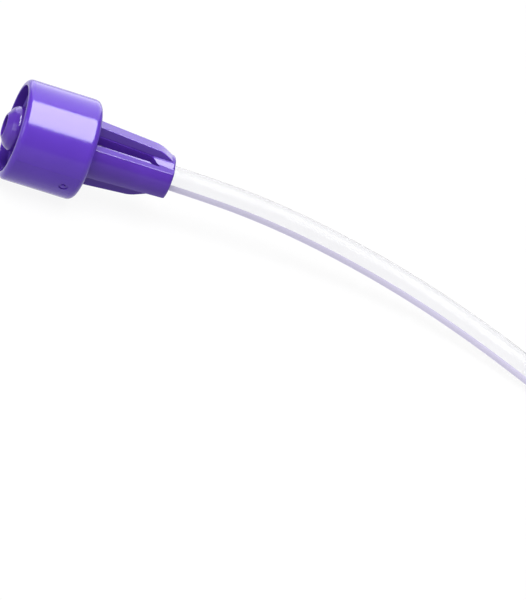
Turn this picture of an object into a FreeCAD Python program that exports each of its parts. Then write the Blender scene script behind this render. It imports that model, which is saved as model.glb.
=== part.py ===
import FreeCAD, Part
import math
import os

# A feeding tube with a twist-lock connector, lying on a table. Millimetres, +Z up, table at z = 0.
# The connector's axis runs along X: its mouth faces -X and the tube leaves towards +X.
# x = 0 is the back face of the locking collar.

# Driving dimensions of the locking collar, a threaded cup that turns on the hub.
COLLAR_R = 6.15
COLLAR_LENGTH = 9.25
FRONT_ROUNDING = 0.7
BACK_ROUNDING = 0.85
LEAD_IN_R = 5.3
LEAD_IN_DEPTH = 1.1
THREAD_ROOT_R = 5.05
THREAD_CREST_R = 4.6
THREAD_LEAD = 5.0
THREAD_STARTS = 2
THREAD_BASE_WIDTH = 1.1
THREAD_CREST_WIDTH = 0.45
COLLAR_FLOOR = 1.6
GATE_R = 0.55
GATE_DEPTH = 0.12
GATE_FROM_BACK = 2.15
GATE_ANGLE = 203.5
PARTING_ANGLES = (6.0, 186.0)
PARTING_WIDTH = 0.08
PARTING_PROUD = 0.02

# The hub: male tip, journal for the collar, finned grip and tube socket, in one moulding.
TIP_REACH = 1.1
TIP_R = 2.75
TIP_TAPER = 0.03
LUMEN_R = 1.3
LUMEN_CHAMFER = 0.06
JOURNAL_R = 2.77
RUNNING_GAP = 0.08
END_PLAY = 0.1
GRIP_LENGTH = 10.35
CORE_R = 1.92
END_RING_R = 2.62
END_RING_START = 7.2
FIN_R = 4.1
FIN_THICK = 1.7
FIN_FOOT_THICK = 1.9
FIN_FOOT_R = 2.84
LOBE_FRONT_R = 3.35
LOBE_BACK_R = 2.95
LOBE_EDGE_FRONT = (2.74, 1.93)
LOBE_EDGE_BACK = (2.4, 1.71)
LOBE_SLOPE = 20.0
POCKET_OUTER = 1.95
POCKET_FLOOR = 0.8
POCKET_END = 8.5
POCKET_SLANT = 1.2

# The tube and its bond.
TUBE_R = 1.5
TUBE_BORE_R = 1.0
BOND_GAP = 0.05
SOCKET_DEPTH = 7.35
SOCKET_FLARE = 0.35

# The length that is put away: a neat coil of turns beside and on each other.
COIL_X = 80.9
COIL_Y = -6.2
COIL_INNER_TURN_R = 13.5
TURNS_ABREAST = 3
LAYERS = 3
TIE_THICK = 0.15
TIE_ANGLE = 90.0
TIE_SPAN = 24.0
TAIL_R = 16.5
TAIL_FROM = 309.5
TAIL_SPAN = 40.0
DISTAL_LENGTH = 12.0
EYE_R = 0.55
EYE_LENGTH = 2.6

# The tube's free route from the bottom of its socket to the coil. The axis height is the collar's radius.
AXIS_Z = COLLAR_R
ROUTE = [
    (GRIP_LENGTH - SOCKET_DEPTH, 0.0, AXIS_Z),
    (12.0, 0.0, AXIS_Z),
    (22.0, 0.0, 5.75),
    (32.0, -1.0, 4.75),
    (42.0, -3.25, 3.5),
    (51.0, -7.25, 2.5),
    (59.5, -13.0, 1.75),
    (67.5, -20.4, 1.65),
]
ARC_SHARE = 0.45

ORIGIN = FreeCAD.Vector(0, 0, 0)
X_AXIS = FreeCAD.Vector(1, 0, 0)
Z_AXIS = FreeCAD.Vector(0, 0, 1)
CONNECTOR_AXIS = FreeCAD.Vector(0, 0, AXIS_Z)


def rounded_outline(corners):
    """A closed wire in the XZ plane through (x, z, radius) corners, each rounded by its radius."""
    points = [FreeCAD.Vector(x, 0, z) for x, z, radius in corners]
    count = len(points)
    ends = []
    for i, point in enumerate(points):
        before = (points[i - 1] - point).normalize()
        after = (points[(i + 1) % count] - point).normalize()
        radius = corners[i][2]
        half = before.getAngle(after) / 2
        back = radius / math.tan(half) if radius else 0.0
        middle = (before + after).normalize() if radius else ORIGIN
        top = point + middle * (radius / math.sin(half) - radius if radius else 0.0)
        ends.append((point + before * back, top, point + after * back, radius))
    edges = []
    for i, (start, top, end, radius) in enumerate(ends):
        if radius:
            edges.append(Part.Arc(start, top, end).toShape())
        following = ends[(i + 1) % count][0]
        if (following - end).Length > 1e-7:
            edges.append(Part.LineSegment(end, following).toShape())
    return Part.Wire(edges)


def turned(corners):
    """A solid of revolution about the connector's axis from (x, radius, rounding) corners."""
    wire = rounded_outline(corners)
    wire.translate(CONNECTOR_AXIS)
    return Part.Face(wire).revolve(CONNECTOR_AXIS, X_AXIS, 360)


def extruded(corners, thick):
    """A plate lying along the axis from (x, height, rounding) corners, with heights from the axis."""
    face = Part.Face(rounded_outline(corners))
    face.translate(FreeCAD.Vector(0, -thick / 2, AXIS_Z))
    return face.extrude(FreeCAD.Vector(0, thick, 0))


def rounded_long_edges(shape, radius, wanted):
    """Rounds the edges that run mostly along X and that wanted() accepts by their middle point."""
    chosen = []
    for edge in shape.Edges:
        ends = [vertex.Point for vertex in edge.Vertexes]
        if len(ends) < 2:
            continue
        run = ends[1] - ends[0]
        middle = edge.valueAt((edge.FirstParameter + edge.LastParameter) / 2)
        if abs(run.x) > 0.5 * run.Length and run.Length > 1 and wanted(middle):
            chosen.append(edge)
    return shape.makeFillet(radius, chosen)


def thread_rib(start_angle):
    """One start of the collar's internal thread: a trapezoid swept along one turn of a helix."""
    helix = Part.makeHelix(THREAD_LEAD, THREAD_LEAD * 0.95, THREAD_ROOT_R)
    half_base, half_crest = THREAD_BASE_WIDTH / 2, THREAD_CREST_WIDTH / 2
    buried = THREAD_ROOT_R + 0.12
    section = [
        FreeCAD.Vector(buried, 0, -half_base),
        FreeCAD.Vector(buried, 0, half_base),
        FreeCAD.Vector(THREAD_CREST_R, 0, half_crest),
        FreeCAD.Vector(THREAD_CREST_R, 0, -half_crest),
    ]
    profile = Part.makePolygon(section + section[:1])
    rib = Part.Wire(helix).makePipeShell([profile], True, True)
    rib.rotate(ORIGIN, Z_AXIS, start_angle)
    rib.rotate(ORIGIN, FreeCAD.Vector(0, 1, 0), 90)
    first_x = -COLLAR_FLOOR - THREAD_LEAD - 0.7
    rib.translate(FreeCAD.Vector(first_x, 0, AXIS_Z))
    return rib


def gate_mark():
    """The shallow round pit left by the moulding gate, low on the collar's side near its back."""
    pit = Part.makeCylinder(GATE_R, 1.0, FreeCAD.Vector(0, 0, COLLAR_R - GATE_DEPTH), Z_AXIS)
    stub = Part.makeCylinder(GATE_R * 0.45, GATE_DEPTH, FreeCAD.Vector(0, 0, COLLAR_R - GATE_DEPTH))
    pit = pit.cut(stub)
    pit.translate(FreeCAD.Vector(-GATE_FROM_BACK, 0, 0))
    pit.rotate(ORIGIN, X_AXIS, GATE_ANGLE - 90)
    pit.translate(CONNECTOR_AXIS)
    return pit


def parting_line(angle):
    """The fine raised line left along the collar's straight side where two mould halves met."""
    length = COLLAR_LENGTH - FRONT_ROUNDING - BACK_ROUNDING
    depth = 0.2
    corner = FreeCAD.Vector(-BACK_ROUNDING - length, -PARTING_WIDTH / 2, COLLAR_R + PARTING_PROUD - depth)
    line = Part.makeBox(length, PARTING_WIDTH, depth, corner)
    line.rotate(ORIGIN, X_AXIS, angle - 90)
    line.translate(CONNECTOR_AXIS)
    return line


def locking_collar():
    front = -COLLAR_LENGTH
    lead_end = front + LEAD_IN_DEPTH
    hole_r = JOURNAL_R + RUNNING_GAP
    cup = turned([
        (front, LEAD_IN_R, 0.1),
        (front, COLLAR_R, FRONT_ROUNDING),
        (0.0, COLLAR_R, BACK_ROUNDING),
        (0.0, hole_r, 0.12),
        (-COLLAR_FLOOR, hole_r, 0.0),
        (-COLLAR_FLOOR, THREAD_ROOT_R, 0.3),
        (lead_end + LEAD_IN_R - THREAD_ROOT_R, THREAD_ROOT_R, 0.0),
        (lead_end, LEAD_IN_R, 0.0),
    ])
    for start in range(THREAD_STARTS):
        cup = cup.fuse(thread_rib(360.0 * start / THREAD_STARTS))
    for angle in PARTING_ANGLES:
        cup = cup.fuse(parting_line(angle))
    return cup.cut(gate_mark()).removeSplitter()


def turned_core():
    """The hub's round parts: rounded male tip, taper, journal and core, as one solid."""
    front = -COLLAR_LENGTH - TIP_REACH
    shoulder = -COLLAR_FLOOR - END_PLAY
    taper_start = front + 1.2
    shoulder_r = TIP_R + TIP_TAPER * (shoulder - taper_start)
    return turned([
        (front, 0.0, 0.0),
        (front, 1.45, 0.04),
        (front + 0.62, 2.38, 0.6),
        (taper_start, TIP_R, 0.6),
        (shoulder, shoulder_r, 0.08),
        (shoulder, JOURNAL_R, 0.0),
        (END_PLAY, JOURNAL_R, 0.0),
        (END_PLAY, CORE_R, 0.0),
        (GRIP_LENGTH - 0.1, CORE_R, 0.0),
        (GRIP_LENGTH - 0.1, 0.0, 0.0),
    ])


def fin(sign, corner_x, corner_r, end_x, end_r):
    """A thin fin above or below the axis whose outline curves down to the end ring, with a thicker foot."""
    blade = extruded([
        (END_PLAY, 0.5 * sign, 0.0),
        (END_PLAY, FIN_R * sign, 0.12),
        (corner_x, corner_r * sign, 4.0),
        (end_x, end_r * sign, 0.0),
        (end_x, 0.5 * sign, 0.0),
    ], FIN_THICK)
    blade = rounded_long_edges(blade, 0.14, lambda middle: (middle.z - AXIS_Z) * sign > 3.0)
    foot = extruded([
        (END_PLAY, 0.5 * sign, 0.0),
        (END_PLAY, FIN_FOOT_R * sign, 0.0),
        (7.3, 2.42 * sign, 1.2),
        (8.6, 1.6 * sign, 0.0),
        (8.6, 0.5 * sign, 0.0),
    ], FIN_FOOT_THICK)
    return blade.fuse(foot)


def pocket(side, level):
    """The hollow beside a fin. Its end is slanted, so that it faces outwards."""
    foot = FIN_FOOT_THICK / 2
    plan = [(-1.0, 0.0), (-1.0, POCKET_OUTER), (POCKET_END, POCKET_OUTER),
            (POCKET_END - POCKET_SLANT, foot), (POCKET_END - POCKET_SLANT, 0.0)]
    floor = POCKET_FLOOR * level
    corners = [FreeCAD.Vector(x, y * side, AXIS_Z + floor) for x, y in plan]
    face = Part.Face(Part.makePolygon(corners + corners[:1]))
    return face.extrude(FreeCAD.Vector(0, 0, (3.0 - POCKET_FLOOR) * level))


def lobe_section(x, edge):
    """A wire across the axis whose four faces slope up towards the fins from the lobes' edges."""
    slope = math.tan(math.radians(LOBE_SLOPE))
    across, up = edge
    inner, outer = 1.0, 4.0
    inner_z, outer_z = up + (across - inner) * slope, up + (across - outer) * slope
    upper = [(-outer, outer_z), (-inner, inner_z), (inner, inner_z), (outer, outer_z)]
    corners = upper + [(-y, -z) for y, z in upper]
    points = [FreeCAD.Vector(x, y, AXIS_Z + z) for y, z in corners]
    return Part.makePolygon(points + points[:1])


def grip_body():
    """The two wide side lobes and the end ring: a tapered bar with sloping faces and four pockets."""
    bar = turned([
        (END_PLAY, 0.0, 0.0),
        (END_PLAY, LOBE_FRONT_R, 0.1),
        (GRIP_LENGTH, LOBE_BACK_R, 0.35),
        (GRIP_LENGTH, 0.0, 0.0),
    ])
    section = [lobe_section(0.0, LOBE_EDGE_FRONT), lobe_section(GRIP_LENGTH, LOBE_EDGE_BACK)]
    lobes = bar.common(Part.makeLoft(section, True, True))
    lobes = rounded_long_edges(lobes, 0.1, lambda middle: abs(middle.y) > 1.8)
    ring = turned([
        (END_RING_START, 0.0, 0.0),
        (END_RING_START, END_RING_R - 0.2, 0.0),
        (END_RING_START + 0.3, END_RING_R, 0.0),
        (GRIP_LENGTH, END_RING_R, 0.3),
        (GRIP_LENGTH, 0.0, 0.0),
    ])
    body = lobes.fuse(ring)
    for side in (1, -1):
        for level in (1, -1):
            body = body.cut(pocket(side, level))
    return body


def tip_hub():
    front = -COLLAR_LENGTH - TIP_REACH
    body = turned_core()
    for piece in (grip_body(), fin(1, 8.3, 3.42, 10.1, 2.43), fin(-1, 6.7, 3.52, 9.0, 2.45)):
        body = body.fuse(piece)
    lumen = turned([
        (front - 1, 0.0, 0.0),
        (front - 1, LUMEN_R + LUMEN_CHAMFER, 0.0),
        (front, LUMEN_R + LUMEN_CHAMFER, 0.0),
        (front + LUMEN_CHAMFER, LUMEN_R, 0.0),
        (GRIP_LENGTH - SOCKET_DEPTH, LUMEN_R, 0.0),
        (GRIP_LENGTH - SOCKET_DEPTH, TUBE_R + BOND_GAP, 0.0),
        (GRIP_LENGTH - SOCKET_FLARE, TUBE_R + BOND_GAP, 0.0),
        (GRIP_LENGTH, TUBE_R + BOND_GAP + SOCKET_FLARE, 0.0),
        (GRIP_LENGTH + 1, TUBE_R + BOND_GAP + SOCKET_FLARE, 0.0),
        (GRIP_LENGTH + 1, 0.0, 0.0),
    ])
    return body.cut(lumen).removeSplitter()


def socket_adhesive():
    """The cured adhesive between tube and socket, filling the socket's flared mouth flush."""
    socket_r = TUBE_R + BOND_GAP
    return turned([
        (GRIP_LENGTH - SOCKET_DEPTH, TUBE_R, 0.0),
        (GRIP_LENGTH - SOCKET_DEPTH, socket_r, 0.0),
        (GRIP_LENGTH - SOCKET_FLARE, socket_r, 0.0),
        (GRIP_LENGTH, socket_r + SOCKET_FLARE, 0.0),
        (GRIP_LENGTH, TUBE_R, 0.0),
    ])


def tangent_route(route):
    """Straight runs joined by tangent arcs, each as large as its two runs allow."""
    points = [FreeCAD.Vector(*point) for point in route]
    edges, radii, start = [], [], points[0]
    for before, corner, after in zip(points, points[1:], points[2:]):
        into, out = (corner - before), (after - corner)
        half_turn = into.getAngle(out) / 2
        back = ARC_SHARE * min(into.Length, out.Length)
        radius = back / math.tan(half_turn)
        into.normalize()
        out.normalize()
        middle = (out - into).normalize()
        first, last = corner - into * back, corner + out * back
        top = corner + middle * (radius / math.cos(half_turn) - radius)
        edges.append(Part.LineSegment(start, first).toShape())
        edges.append(Part.Arc(first, top, last).toShape())
        radii.append(radius)
        start = last
    edges.append(Part.LineSegment(start, points[-1]).toShape())
    return Part.Wire(edges), radii


def pipe(path, outer_r, bore_r):
    """A round pipe along a path of tangent edges."""
    start = path.Edges[0]
    centre = start.valueAt(start.FirstParameter)
    direction = start.tangentAt(start.FirstParameter)
    solids = []
    for radius in (outer_r, bore_r):
        ring = Part.Wire(Part.makeCircle(radius, centre, direction))
        solids.append(path.makePipeShell([ring], True, False))
    return solids[0].cut(solids[1])


def coil_section(clearance):
    """The outline of the coil's cross-section, grown by a clearance, in the XZ plane through its centre."""
    wide = TURNS_ABREAST * 2 * TUBE_R
    high = LAYERS * 2 * TUBE_R
    inner = COIL_INNER_TURN_R - TUBE_R - clearance
    outer = COIL_INNER_TURN_R - TUBE_R + wide + clearance
    low, top = TIE_THICK - clearance, TIE_THICK + high + clearance
    corner = TUBE_R + clearance
    outline = rounded_outline([
        (inner, low, corner), (outer, low, corner), (outer, top, corner), (inner, top, corner)])
    outline.translate(FreeCAD.Vector(COIL_X, COIL_Y, 0))
    return outline


def feed_tube_coil():
    section = Part.Face(coil_section(0.0))
    return section.revolve(FreeCAD.Vector(COIL_X, COIL_Y, 0), Z_AXIS, 360)


def coil_tie():
    """A paper band once round the coil's section."""
    band = Part.Face(coil_section(TIE_THICK)).cut(Part.Face(coil_section(0.0)))
    centre = FreeCAD.Vector(COIL_X, COIL_Y, 0)
    band.rotate(centre, Z_AXIS, TIE_ANGLE - TIE_SPAN / 2)
    return band.Faces[0].revolve(centre, Z_AXIS, TIE_SPAN)


def on_tail(angle):
    """A point on the tail's arc, which lies on top of the coil, and the direction of travel there."""
    turn = math.radians(angle)
    height = TIE_THICK + (2 * LAYERS + 1) * TUBE_R
    point = FreeCAD.Vector(COIL_X + TAIL_R * math.cos(turn), COIL_Y + TAIL_R * math.sin(turn), height)
    return point, FreeCAD.Vector(-math.sin(turn), math.cos(turn), 0)


def feed_tube_tail():
    places = [on_tail(TAIL_FROM + TAIL_SPAN * share)[0] for share in (0.0, 0.5, 1.0)]
    return pipe(Part.Wire([Part.Arc(*places).toShape()]), TUBE_R, TUBE_BORE_R)


def distal_tip():
    """The closed round end of the tube, with side eyes into its blind bore."""
    body = Part.makeCylinder(TUBE_R, DISTAL_LENGTH - TUBE_R)
    nose = Part.makeSphere(TUBE_R, FreeCAD.Vector(0, 0, DISTAL_LENGTH - TUBE_R))
    body = body.fuse(nose).removeSplitter()
    bore_end = DISTAL_LENGTH - 2 * TUBE_R
    bore = Part.makeCylinder(TUBE_BORE_R, bore_end - TUBE_BORE_R)
    bore = bore.fuse(Part.makeSphere(TUBE_BORE_R, FreeCAD.Vector(0, 0, bore_end - TUBE_BORE_R)))
    body = body.cut(bore)
    for place, side in ((2.6, 1), (6.0, -1)):
        low, high = place - EYE_LENGTH / 2 + EYE_R, place + EYE_LENGTH / 2 - EYE_R
        eye = Part.makeBox(2.0, 2 * EYE_R, high - low, FreeCAD.Vector(0, -EYE_R, low))
        for end in (low, high):
            eye = eye.fuse(Part.makeCylinder(EYE_R, 2.0, FreeCAD.Vector(0, 0, end), X_AXIS))
        if side < 0:
            eye.rotate(ORIGIN, Z_AXIS, 180)
        body = body.cut(eye)
    body.rotate(ORIGIN, Z_AXIS, 90)
    point, direction = on_tail(TAIL_FROM + TAIL_SPAN)
    turn = FreeCAD.Rotation(Z_AXIS, direction)
    body.Placement = FreeCAD.Placement(point, turn).multiply(body.Placement)
    return body


def main():
    path, radii = tangent_route(ROUTE)
    tube = pipe(path, TUBE_R, TUBE_BORE_R)
    section = math.pi * (TUBE_R ** 2 - TUBE_BORE_R ** 2)
    print("tube radii", [round(radius, 1) for radius in radii])
    print("tube length", round(path.Length, 2), "volume", round(tube.Volume, 2),
          "section x length", round(section * path.Length, 2))
    parts = {
        "locking_collar": locking_collar(),
        "tip_hub": tip_hub(),
        "socket_adhesive": socket_adhesive(),
        "feed_tube": tube,
        "feed_tube_coil": feed_tube_coil(),
        "feed_tube_tail": feed_tube_tail(),
        "coil_tie": coil_tie(),
        "distal_tip": distal_tip(),
    }
    os.makedirs("parts", exist_ok=True)
    for name, shape in parts.items():
        box = shape.BoundBox
        print(f"{name:16s} valid {shape.isValid()} solids {len(shape.Solids)} volume {shape.Volume:9.2f}"
              f"  x {box.XMin:.2f} {box.XMax:.2f}  y {box.YMin:.2f} {box.YMax:.2f}"
              f"  z {box.ZMin:.2f} {box.ZMax:.2f}")
        shape.exportStep(f"parts/{name}.step")


main()
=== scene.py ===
import math

import bmesh
import bpy
from mathutils import Matrix, Vector


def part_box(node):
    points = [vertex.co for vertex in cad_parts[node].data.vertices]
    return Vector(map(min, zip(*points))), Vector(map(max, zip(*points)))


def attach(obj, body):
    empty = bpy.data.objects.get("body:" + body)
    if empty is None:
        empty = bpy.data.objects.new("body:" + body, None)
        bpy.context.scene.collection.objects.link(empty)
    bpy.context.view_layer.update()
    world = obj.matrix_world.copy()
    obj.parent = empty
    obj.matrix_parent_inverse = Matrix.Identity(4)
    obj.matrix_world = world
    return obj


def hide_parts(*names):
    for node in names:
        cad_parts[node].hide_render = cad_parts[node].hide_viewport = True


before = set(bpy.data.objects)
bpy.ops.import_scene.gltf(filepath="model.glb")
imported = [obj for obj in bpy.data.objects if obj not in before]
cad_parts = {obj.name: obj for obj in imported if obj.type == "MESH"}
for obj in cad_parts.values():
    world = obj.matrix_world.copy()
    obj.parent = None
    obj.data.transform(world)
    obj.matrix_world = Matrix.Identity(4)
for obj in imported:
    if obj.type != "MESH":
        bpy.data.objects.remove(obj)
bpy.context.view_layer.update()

# Everything is in metres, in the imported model's own frame: the connector's axis runs along X, the
# table is z = 0, and the tube leaves towards +X.
MM = 0.001

collar_low, collar_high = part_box("locking_collar")
coil_low, coil_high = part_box("feed_tube_coil")

AXIS_Z = (collar_high.z + collar_low.z) / 2
MOUTH = Vector((collar_low.x, 0, AXIS_Z))

# The tube.
TUBE_R = 1.5 * MM
TUBE_BORE_R = 1.0 * MM
TUBE_SEGMENTS = 32
LEAST_POINT_GAP = 0.3 * MM
TIE_THICK = 0.15 * MM

# A lavender band along the tube: angles in degrees round the tube, from the side that starts on top.
LAVENDER_BAND_CENTRE = 120.0
LAVENDER_BAND_WIDTH = 52.0
LAVENDER_BAND_PROUD = 0.03 * MM
LAVENDER_BAND_STRIPS = 6

# The coil of the length that is put away, and the tail on top of it.
COIL_CENTRE = ((coil_low + coil_high) / 2).xy
TURN_RADII = [19.5 * MM, 16.5 * MM, 13.5 * MM]
LAYERS = 3
POINTS_PER_TURN = 24
CORNER_EASE = 0.995
ENTRY_ANGLE = 229.5
STEP_OVER = 80.0
TAIL_R = 16.5 * MM
TAIL_SPAN = 40.0

# The tube's free route in millimetres: the solid tube's points, apart from its last one, where the
# coil's own points take over.
ROUTE = [
    (3.0, 0.0, 6.15),
    (12.0, 0.0, 6.15),
    (22.0, 0.0, 5.75),
    (32.0, -1.0, 4.75),
    (42.0, -3.25, 3.5),
    (51.0, -7.25, 2.5),
    (59.5, -13.0, 1.75),
]


def add_object(name, data):
    """An object of the scene for the data."""
    thing = bpy.data.objects.new(name, data)
    bpy.context.scene.collection.objects.link(thing)
    return thing


def make_camera():
    """A long lens that looks down on the connector from its mouth's side, rolled a little."""
    height_angle = math.radians(29.5)
    mouth_turn = math.radians(13.2)
    tilt_in_picture = math.radians(17.14)
    distance = 0.54
    mouth_left_of_centre = 29.4 * MM
    mouth_above_centre = 20.25 * MM
    across = math.cos(mouth_turn)
    towards = Vector((
        -math.sin(mouth_turn),
        -across * math.cos(height_angle),
        across * math.sin(height_angle),
    ))
    level_up = (Vector((0, 0, 1)) - towards * towards.z).normalized()
    level_right = level_up.cross(towards)
    roll = tilt_in_picture + math.atan2(level_up.x, level_right.x)
    right = level_right * math.cos(roll) + level_up * math.sin(roll)
    up = level_up * math.cos(roll) - level_right * math.sin(roll)
    aim = MOUTH + right * mouth_left_of_centre - up * mouth_above_centre
    data = bpy.data.cameras.new("camera")
    data.sensor_width = 36.0
    data.lens = 275.4
    data.clip_start = 0.05
    data.clip_end = 20.0
    camera = add_object("camera", data)
    axes = Matrix((right, up, towards)).transposed().to_4x4()
    camera.matrix_world = Matrix.Translation(aim + towards * distance) @ axes
    bpy.context.scene.camera = camera
    return towards


def smooth(share):
    """0 to 1 with no kink at either end."""
    share = min(max(share, 0.0), 1.0)
    return share * share * (3 - 2 * share)


def coil_points():
    """The coil's turns, three abreast, in layers that run inwards, outwards and inwards, then the tail."""
    layer_turns = []
    for layer in range(LAYERS):
        radii = TURN_RADII if layer % 2 == 0 else TURN_RADII[::-1]
        layer_turns += [(radius, layer) for radius in radii]
    layer_turns.append((TAIL_R, LAYERS))
    step = 360.0 / POINTS_PER_TURN
    tail_end = 360.0 * (len(layer_turns) - 1) + STEP_OVER + TAIL_SPAN
    first_height = TIE_THICK + TUBE_R
    outset = CORNER_EASE / math.cos(math.radians(step / 2))
    points = []
    angle = 0.0
    while angle < tail_end - 0.5 * step:
        turn = int(angle // 360)
        within = angle - 360.0 * turn
        if turn == len(layer_turns) - 1:
            before, after, share = layer_turns[-2], layer_turns[-1], smooth(within / STEP_OVER)
        else:
            before, after = layer_turns[turn], layer_turns[min(turn + 1, len(layer_turns) - 2)]
            share = smooth((within - (360 - STEP_OVER)) / STEP_OVER)
        radius = before[0] + (after[0] - before[0]) * share
        level = before[1] + (after[1] - before[1]) * share
        place = math.radians(ENTRY_ANGLE + angle)
        points.append((
            COIL_CENTRE.x + radius * outset * math.cos(place),
            COIL_CENTRE.y + radius * outset * math.sin(place),
            first_height + 2 * TUBE_R * level,
        ))
        angle += step
    last = math.radians(ENTRY_ANGLE + tail_end)
    points.append((
        COIL_CENTRE.x + TAIL_R * math.cos(last),
        COIL_CENTRE.y + TAIL_R * math.sin(last),
        first_height + 2 * TUBE_R * LAYERS,
    ))
    return points


def centreline():
    """The tube's line as points read from one smooth spline through its route and its coil."""
    points = [tuple(c * MM for c in point) for point in ROUTE] + coil_points()
    data = bpy.data.curves.new("route", "CURVE")
    data.dimensions = "3D"
    spline = data.splines.new("NURBS")
    spline.points.add(len(points) - 1)
    for place, point in zip(spline.points, points):
        place.co = (*point, 1)
    spline.order_u = 3
    spline.use_endpoint_u = True
    spline.resolution_u = 8
    curve = add_object("route", data)
    bpy.context.view_layer.update()
    mesh = bpy.data.meshes.new_from_object(curve.evaluated_get(bpy.context.evaluated_depsgraph_get()))
    line = [vertex.co.copy() for vertex in mesh.vertices]
    bpy.data.objects.remove(curve)
    bpy.data.meshes.remove(mesh)
    kept = [line[0]]
    for point in line[1:]:
        if (point - kept[-1]).length > LEAST_POINT_GAP:
            kept.append(point)
    return kept


def carried_frames(line):
    """A sideways pair of directions at each point of a line, carried along it with no twist."""
    side = Vector((0, 0, 1))
    frames = []
    for i, point in enumerate(line):
        ahead = (line[min(i + 1, len(line) - 1)] - line[max(i - 1, 0)]).normalized()
        side = (side - ahead * side.dot(ahead)).normalized()
        frames.append((point, side.copy(), ahead.cross(side)))
    return frames


def new_piece(name, bm, body, material):
    """A smooth mesh object made from bm, riding on a body."""
    mesh = bpy.data.meshes.new(name)
    bm.normal_update()
    bm.to_mesh(mesh)
    bm.free()
    mesh.materials.append(material)
    for polygon in mesh.polygons:
        polygon.use_smooth = True
    piece = add_object(name, mesh)
    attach(piece, body)
    return piece


def beside(station, turn, radius):
    """The place at an angle round the line and a distance from it, at one of its frames."""
    point, side, other = station
    return point + (side * math.cos(turn) + other * math.sin(turn)) * radius


def skin_rings(bm, frames, radius, flip=False):
    """A round skin around a line of frames. Gives back its rings of vertices."""
    turns = [2 * math.pi * k / TUBE_SEGMENTS for k in range(TUBE_SEGMENTS)]
    rings = [[bm.verts.new(beside(station, turn, radius)) for turn in turns] for station in frames]
    for first, second in zip(rings, rings[1:]):
        for k in range(TUBE_SEGMENTS):
            n = (k + 1) % TUBE_SEGMENTS
            face = [first[k], second[k], second[n], first[n]]
            bm.faces.new(face[::-1] if flip else face)
    return rings


def make_tube(line, wall, bore):
    """The clear tube: an outer and an inner skin, joined by a flat ring at each end."""
    bm = bmesh.new()
    frames = carried_frames(line)
    outer = skin_rings(bm, frames, TUBE_R, flip=True)
    outer_faces = len(bm.faces)
    inner = skin_rings(bm, frames, TUBE_BORE_R)
    bm.faces.ensure_lookup_table()
    for face in bm.faces[outer_faces:]:
        face.material_index = 1
    for end in (0, -1):
        for k in range(TUBE_SEGMENTS):
            n = (k + 1) % TUBE_SEGMENTS
            bm.faces.new([outer[end][k], outer[end][n], inner[end][n], inner[end][k]])
    bmesh.ops.recalc_face_normals(bm, faces=bm.faces)
    tube = new_piece("clear_tube", bm, "hub", wall)
    tube.data.materials.append(bore)
    return tube


def make_lavender_band(line, material):
    """A thin lavender band along the tube's wall: a ribbon just proud of its skin."""
    bm = bmesh.new()
    turns = [math.radians(LAVENDER_BAND_CENTRE + LAVENDER_BAND_WIDTH * (k / LAVENDER_BAND_STRIPS - 0.5))
             for k in range(LAVENDER_BAND_STRIPS + 1)]
    rows = [[bm.verts.new(beside(station, turn, TUBE_R + LAVENDER_BAND_PROUD)) for turn in turns]
            for station in carried_frames(line)]
    for first, second in zip(rows, rows[1:]):
        for k in range(LAVENDER_BAND_STRIPS):
            bm.faces.new([first[k], first[k + 1], second[k + 1], second[k]])
    return new_piece("tube_lavender_band", bm, "hub", material)


# Materials.


def new_material(name):
    """A node material, with its nodes, its links and its surface shader."""
    material = bpy.data.materials.new(name)
    material.use_nodes = True
    nodes, links = material.node_tree.nodes, material.node_tree.links
    shader = next(node for node in nodes if node.type == "BSDF_PRINCIPLED")
    return material, nodes, links, shader


def noise(nodes, links, source, scale, detail=3.0, roughness=0.5):
    """A noise value; a higher scale is finer."""
    node = nodes.new("ShaderNodeTexNoise")
    node.inputs["Scale"].default_value = scale
    node.inputs["Detail"].default_value = detail
    node.inputs["Roughness"].default_value = roughness
    links.new(source, node.inputs["Vector"])
    return node.outputs["Fac"]


def ramp(nodes, links, source, stops):
    """A colour ramp through (place, colour) stops."""
    node = nodes.new("ShaderNodeValToRGB")
    elements = node.color_ramp.elements
    while len(elements) < len(stops):
        elements.new(0.5)
    for element, (place, colour) in zip(elements, stops):
        element.position = place
        element.color = (*colour, 1)
    links.new(source, node.inputs["Fac"])
    return node.outputs["Color"]


def remap(nodes, links, source, low, high):
    """A 0 to 1 value taken to between low and high."""
    node = nodes.new("ShaderNodeMapRange")
    node.inputs["To Min"].default_value = low
    node.inputs["To Max"].default_value = high
    links.new(source, node.inputs["Value"])
    return node.outputs["Result"]


def bump(nodes, links, height, strength, distance, below=None):
    """A normal roughened by a height, on top of another one if below is given."""
    node = nodes.new("ShaderNodeBump")
    node.inputs["Strength"].default_value = strength
    node.inputs["Distance"].default_value = distance
    links.new(height, node.inputs["Height"])
    if below is not None:
        links.new(below, node.inputs["Normal"])
    return node.outputs["Normal"]


def purple_plastic(name, base, deep):
    """Glossy moulded plastic: slight flow variation in colour, and a faint skin texture."""
    material, nodes, links, shader = new_material(name)
    place = nodes.new("ShaderNodeTexCoord").outputs["Object"]
    flow = noise(nodes, links, place, scale=260.0, detail=4.0)
    links.new(ramp(nodes, links, flow, [(0.3, deep), (0.7, base)]), shader.inputs["Base Color"])
    fine = noise(nodes, links, place, scale=5200.0, detail=2.0)
    links.new(remap(nodes, links, fine, low=0.10, high=0.20), shader.inputs["Roughness"])
    wave = noise(nodes, links, place, scale=420.0, detail=2.0)
    normal = bump(nodes, links, fine, strength=0.06, distance=0.01 * MM)
    normal = bump(nodes, links, wave, strength=0.05, distance=0.05 * MM, below=normal)
    links.new(normal, shader.inputs["Normal"])
    shader.inputs["IOR"].default_value = 1.5
    shader.inputs["Specular IOR Level"].default_value = 0.28
    shader.inputs["Subsurface Weight"].default_value = 0.12
    shader.inputs["Subsurface Radius"].default_value = (0.6, 0.35, 1.0)
    shader.inputs["Subsurface Scale"].default_value = 0.6 * MM
    return material


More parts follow.
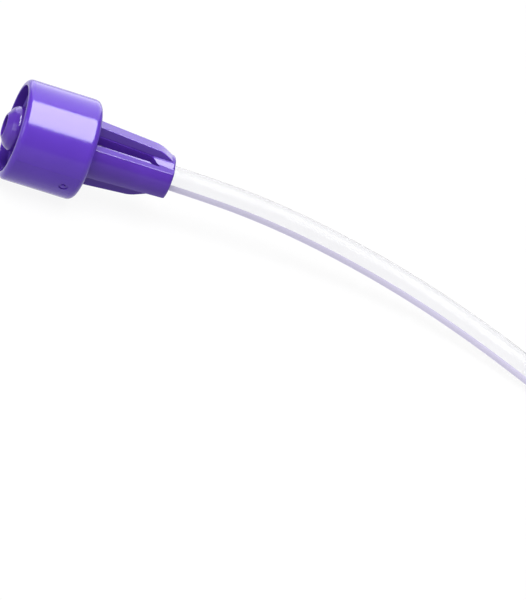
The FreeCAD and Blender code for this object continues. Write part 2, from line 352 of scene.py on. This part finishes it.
def clear_plastic(name, face, shaded_edge, transmission, roughness, ior=1.4):
    """Soft plastic, clear or milky, with painted shade at its outline: its face colour turns to a darker
    edge colour where it turns away from the camera.
    """
    material, nodes, links, shader = new_material(name)
    place = nodes.new("ShaderNodeTexCoord").outputs["Object"]
    haze = noise(nodes, links, place, scale=900.0)
    uneven = remap(nodes, links, haze, low=roughness * 0.7, high=roughness * 1.3)
    links.new(uneven, shader.inputs["Roughness"])
    # Painted shade: the colour darkens towards the outline, varied a little by the haze noise.
    outline = nodes.new("ShaderNodeLayerWeight").outputs["Facing"]
    outline_shade = nodes.new("ShaderNodeMath")
    outline_shade.operation = "MULTIPLY"
    links.new(outline, outline_shade.inputs[0])
    links.new(remap(nodes, links, haze, low=0.94, high=1.0), outline_shade.inputs[1])
    colour = ramp(nodes, links, outline_shade.outputs["Value"], [(0.0, face), (0.40, face), (0.70, shaded_edge)])
    links.new(colour, shader.inputs["Base Color"])
    shader.inputs["Transmission Weight"].default_value = transmission
    shader.inputs["IOR"].default_value = ior
    shader.inputs["Specular IOR Level"].default_value = 0.1
    shader.inputs["Specular Tint"].default_value = (0.15, 0.15, 0.15, 1)
    return material


def paper():
    """Plain white paper tape with a fibrous grain."""
    material, nodes, links, shader = new_material("paper_band")
    place = nodes.new("ShaderNodeTexCoord").outputs["Object"]
    fibres = noise(nodes, links, place, scale=2600.0, detail=6.0, roughness=0.7)
    colour = ramp(nodes, links, fibres, [(0.3, (0.70, 0.69, 0.66)), (0.7, (0.82, 0.81, 0.79))])
    links.new(colour, shader.inputs["Base Color"])
    links.new(bump(nodes, links, fibres, strength=0.25, distance=0.03 * MM), shader.inputs["Normal"])
    shader.inputs["Roughness"].default_value = 0.85
    return material


def floor_material():
    """A bright, evenly lit paper sweep: mostly its own even glow, so that shadows stay faint."""
    material, nodes, links, shader = new_material("table")
    place = nodes.new("ShaderNodeTexCoord").outputs["Object"]
    grain = noise(nodes, links, place, scale=30.0)
    colour = ramp(nodes, links, grain, [(0.3, (0.032, 0.032, 0.033)), (0.7, (0.036, 0.036, 0.036))])
    links.new(colour, shader.inputs["Base Color"])
    shader.inputs["Roughness"].default_value = 0.9
    shader.inputs["Specular IOR Level"].default_value = 0.1
    shader.inputs["Emission Color"].default_value = (1, 1, 1, 1)
    shader.inputs["Emission Strength"].default_value = 0.91
    return material


def make_floor():
    """The table's top, which is the stage and no part of the model."""
    bm = bmesh.new()
    bmesh.ops.create_grid(bm, x_segments=8, y_segments=8, size=3.0)
    mesh = bpy.data.meshes.new("table")
    bm.to_mesh(mesh)
    bm.free()
    mesh.materials.append(floor_material())
    floor = add_object("table", mesh)


def area_light(name, place, target, width, height, watts):
    """A rectangular light at a place, facing the target, that isn't seen through clear pieces."""
    data = bpy.data.lights.new(name, "AREA")
    data.shape = "RECTANGLE"
    data.size, data.size_y = width, height
    data.energy = watts
    light = add_object(name, data)
    light.visible_transmission = False
    facing = (Vector(place) - Vector(target)).normalized()
    along = (Vector((1, 0, 0)) - facing * facing.x).normalized()
    axes = Matrix((along, facing.cross(along), facing)).transposed().to_4x4()
    light.matrix_world = Matrix.Translation(place) @ axes
    return light


def make_lights(towards):
    """A pale surround, two panels that show in the gloss, a soft light overhead and one at the mouth."""
    world = bpy.data.worlds.new("surround")
    world.use_nodes = True
    sky = world.node_tree.nodes["Background"]
    sky.inputs["Color"].default_value = (1, 1, 1, 1)
    sky.inputs["Strength"].default_value = 0.35
    bpy.context.scene.world = world
    centre = Vector((0.02, 0, AXIS_Z))
    ahead = Vector((0, towards.y, towards.z)).normalized()
    above = Vector((0, ahead.z, -ahead.y))
    distance = 0.6
    # Each panel's name, its angle above the camera's direction and half its spread in degrees, its
    # width in metres, and its watts.
    panels = (("softbox", 47.0, 27.8, 0.6, 24.0), ("back panel", 114.0, 35.0, 0.9, 6.5))
    for name, angle, half_spread, width, watts in panels:
        direction = ahead * math.cos(math.radians(angle)) + above * math.sin(math.radians(angle))
        height = 2 * distance * math.tan(math.radians(half_spread))
        panel = area_light(name, centre + direction * distance, centre, width, height, watts)
        panel.visible_diffuse = False
    above_table = centre + Vector((-0.1, -0.2, 0.9))
    overhead = area_light("overhead", above_table, centre, width=0.8, height=0.8, watts=18.0)
    overhead.visible_glossy = False
    before_mouth = centre + Vector((-0.55, -0.15, 0.12))
    area_light("mouth fill", before_mouth, centre, width=0.3, height=0.3, watts=1.2)


def repaint(node, material):
    """Gives a CAD piece a new material and leaves its shape alone."""
    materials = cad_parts[node].data.materials
    materials.clear()
    materials.append(material)


bpy.context.scene.view_settings.view_transform = "Standard"
towards_camera = make_camera()
line = centreline()

# The CAD pieces that keep their own shapes.
repaint("locking_collar", purple_plastic("purple_collar", base=(0.078, 0.027, 0.34),
                                         deep=(0.070, 0.024, 0.31)))
repaint("tip_hub", purple_plastic("purple_hub", base=(0.070, 0.022, 0.29), deep=(0.062, 0.019, 0.26)))
# The tube's dark edge colour is painted shade that greys its outline.
wall_clear = clear_plastic("clear_tube", face=(0.91, 0.91, 0.925), shaded_edge=(0.38, 0.37, 0.41),
                           transmission=0.97, roughness=0.14)
repaint("socket_adhesive", clear_plastic("clear_adhesive", face=(0.90, 0.88, 0.94), shaded_edge=(0.7, 0.66, 0.8),
                                         transmission=0.8, roughness=0.2))
repaint("distal_tip", clear_plastic("soft_tip", face=(0.62, 0.57, 0.80), shaded_edge=(0.45, 0.40, 0.68),
                                    transmission=0.35, roughness=0.35))
repaint("coil_tie", paper())

# The tube and its lavender band, which stand for the CAD's three tube solids.
bore_clear = clear_plastic("tube_bore", face=(0.975, 0.975, 0.98), shaded_edge=(0.95, 0.95, 0.96),
                           transmission=1.0, roughness=0.14, ior=1.05)
tube = make_tube(line, wall_clear, bore_clear)
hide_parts("feed_tube", "feed_tube_coil", "feed_tube_tail")
lavender_band_plastic = clear_plastic("lavender_band", face=(0.59, 0.56, 0.715), shaded_edge=(0.56, 0.53, 0.695),
                               transmission=0.0, roughness=0.35)
lavender_band = make_lavender_band(line, lavender_band_plastic)

make_floor()
make_lights(towards_camera)
